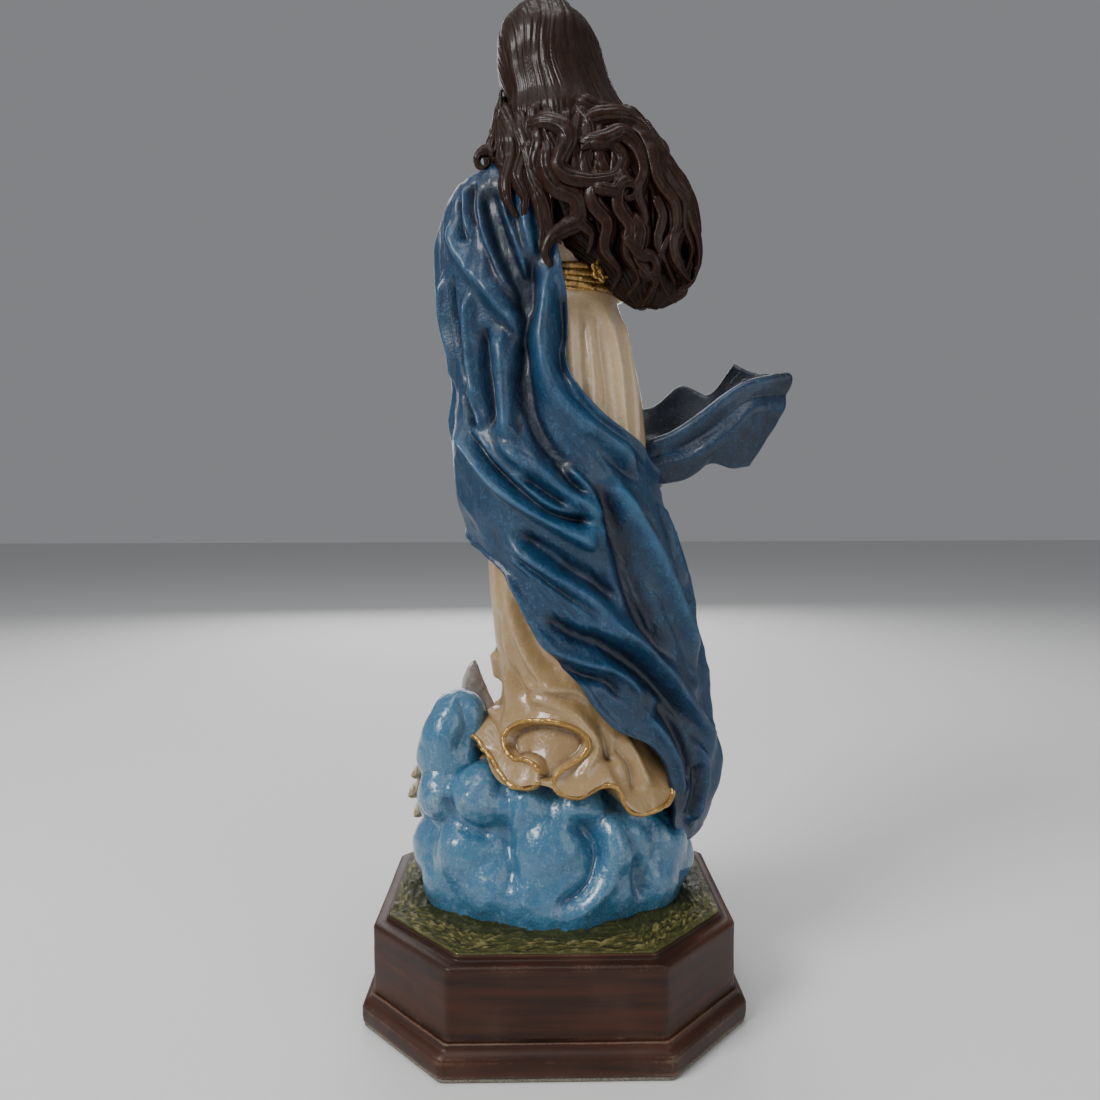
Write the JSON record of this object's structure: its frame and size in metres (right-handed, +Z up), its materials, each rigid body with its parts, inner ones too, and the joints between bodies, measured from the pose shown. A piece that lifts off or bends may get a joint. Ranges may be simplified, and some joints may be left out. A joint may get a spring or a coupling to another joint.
{
  "type": "madonna statue",
  "caption": "Standing madonna in a wrapped mantle with a flying fold, on a cloud with a crescent and a winged cherub, on an eight-sided plinth; rests on a shelf.",
  "frame": {"origin": "the middle of the plinth's underside, on the surface it stands on", "axes": "+Z up through the head, the figure faces -Y, +X is the figure's left side"},
  "size_m": [0.1712, 0.134, 0.3995],
  "materials": {
    "felt": "pressed felt",
    "plinth": "mahogany stain, satin lacquer",
    "turf": "textured cast, olive green with a dry-brushed tan",
    "cloud": "pale blue paint, pearl highlights, gloss varnish",
    "moon": "silver-grey paint",
    "skin": "flesh paint, satin varnish",
    "hair": "dark brown paint, gloss varnish",
    "gold": "gold paint over brown",
    "dress": "cream pearl paint, gloss varnish",
    "mantle": "blue paint, dark in the folds, semi-gloss varnish",
    "steel": "zinc plated",
    "dowel": "plain beech"
  },
  "bodies": {
    "root": {"base_felt": "felt", "plinth_foot": "plinth", "plinth_block": "plinth", "turf_slab": "turf", "cloud": "cloud", "cloud_left_puff": "cloud", "horn_left": "moon", "horn_right": "moon", "cherub_head": "skin", "cherub_hair": "hair", "cherub_wing_outer": "gold", "cherub_wing_inner": "gold", "skirt": "dress", "belt": "gold", "belt_rosette": "gold", "bodice": "dress", "sleeve_left": "dress", "sleeve_right": "dress", "hand_left": "skin", "hand_right": "skin", "mantle": "mantle", "mantle_front_fold": "mantle", "mantle_flying_fold": "mantle", "head": "skin", "hair_cap": "hair", "hair_fall": "hair", "hair_curl_left": "hair", "hair_curl_right": "hair", "hair_front_lock": "hair", "core_rod": "steel", "rod_nut": "steel", "rod_washer": "steel", "head_dowel": "dowel", "fold_dowel_low": "steel", "fold_dowel_high": "steel", "cherub_dowel": "dowel", "wrist_dowel_left": "steel", "wrist_dowel_right": "steel"}
  },
  "joints": []
}
